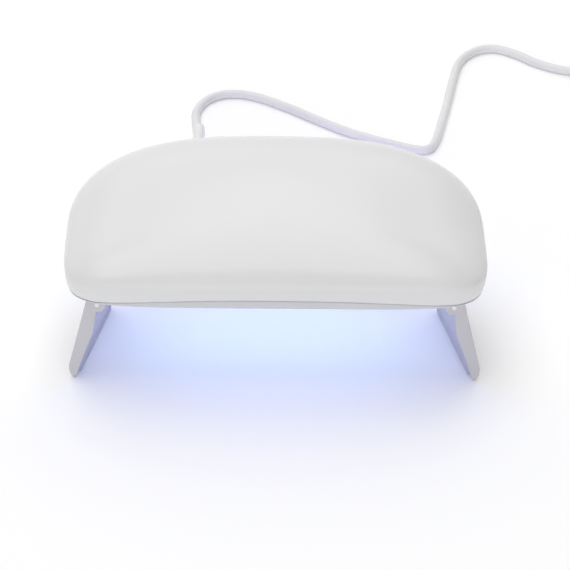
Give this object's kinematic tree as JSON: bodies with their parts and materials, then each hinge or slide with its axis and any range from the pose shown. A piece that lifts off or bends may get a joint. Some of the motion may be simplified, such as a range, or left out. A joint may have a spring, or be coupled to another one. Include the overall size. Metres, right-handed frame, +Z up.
{
  "type": "mini nail lamp",
  "caption": "Foldable nail lamp: a low domed housing on hinged side legs, with curing lamps underneath, a rear push button and a captive USB lead.",
  "frame": {"origin": "on the table plane under the middle of the housing, with the legs open", "axes": "+Z up; the front lip faces -Y and the lead leaves toward +Y; +X is to the right seen from the front"},
  "size_m": [0.24, 0.2207, 0.0598],
  "materials": {
    "shell": "glossy white moulding",
    "base": "fine satin, pale blue-grey",
    "leg": "fine satin, pale grey",
    "reflector": "bright reflective lining",
    "lamp_board": "satin",
    "package": "smooth",
    "lens": "clear",
    "board": "solder mask",
    "component": "matt",
    "socket": "matt",
    "plunger": "matt",
    "button": "glossy",
    "steel": "plated",
    "wire": "smooth insulation",
    "lead": "smooth white jacket",
    "tie": "satin",
    "grip": "satin white moulding",
    "plug_steel": "plated",
    "tongue": "smooth",
    "contact": "gold plated"
  },
  "bodies": {
    "housing": {"top_cover": "shell", "bottom_cover": "base", "reflector_panel": "reflector", "lamp_board": "lamp_board", "lamp_packages": "package", "lamp_lenses": "lens", "control_board": "board", "board_parts": "component", "power_coil": "component", "wire_sockets": "socket", "tact_switch": "component", "strain_relief": "lead", "lead_tail": "lead", "cord_clamp": "base", "clamp_screws": "steel", "board_screws": "steel", "cover_screws": "steel", "lamp_wires": "wire", "power_wires": "wire", "cord_run": "lead", "cord_coil": "lead", "cord_end": "lead", "coil_tie": "tie", "plug_grip": "grip", "plug_shell": "plug_steel", "plug_tongue": "tongue", "plug_contacts": "contact"},
    "left_leg": {"left_leg": "leg", "left_hinge_pins": "steel"},
    "right_leg": {"right_leg": "leg", "right_hinge_pins": "steel"},
    "button": {"timer_button": "button"},
    "plunger": {"switch_plunger": "plunger"}
  },
  "joints": [
    {"name": "right_leg_fold", "type": "hinge", "parent": "housing", "child": "right_leg", "pos_m": [0.0565, -0.033, 0.0326], "axis": [-0.2334, 0.9724, 0], "range_deg": [0, 104]},
    {"name": "left_leg_fold", "type": "hinge", "parent": "housing", "child": "left_leg", "pos_m": [-0.0565, -0.033, 0.0326], "axis": [-0.2334, -0.9724, 0], "range_deg": [0, 104]},
    {"name": "button_press", "type": "slide", "parent": "housing", "child": "button", "axis": [0, -1, 0], "range_m": [0, 0.0005], "stiffness_N_per_m": 800, "springref_m": -0.001},
    {"name": "plunger_press", "type": "slide", "parent": "housing", "child": "plunger", "axis": [0, -1, 0], "range_m": [0, 0.0005]}
  ],
  "couplings": [
    {"joint": "plunger_press", "follows": "button_press", "ratio": 1}
  ]
}
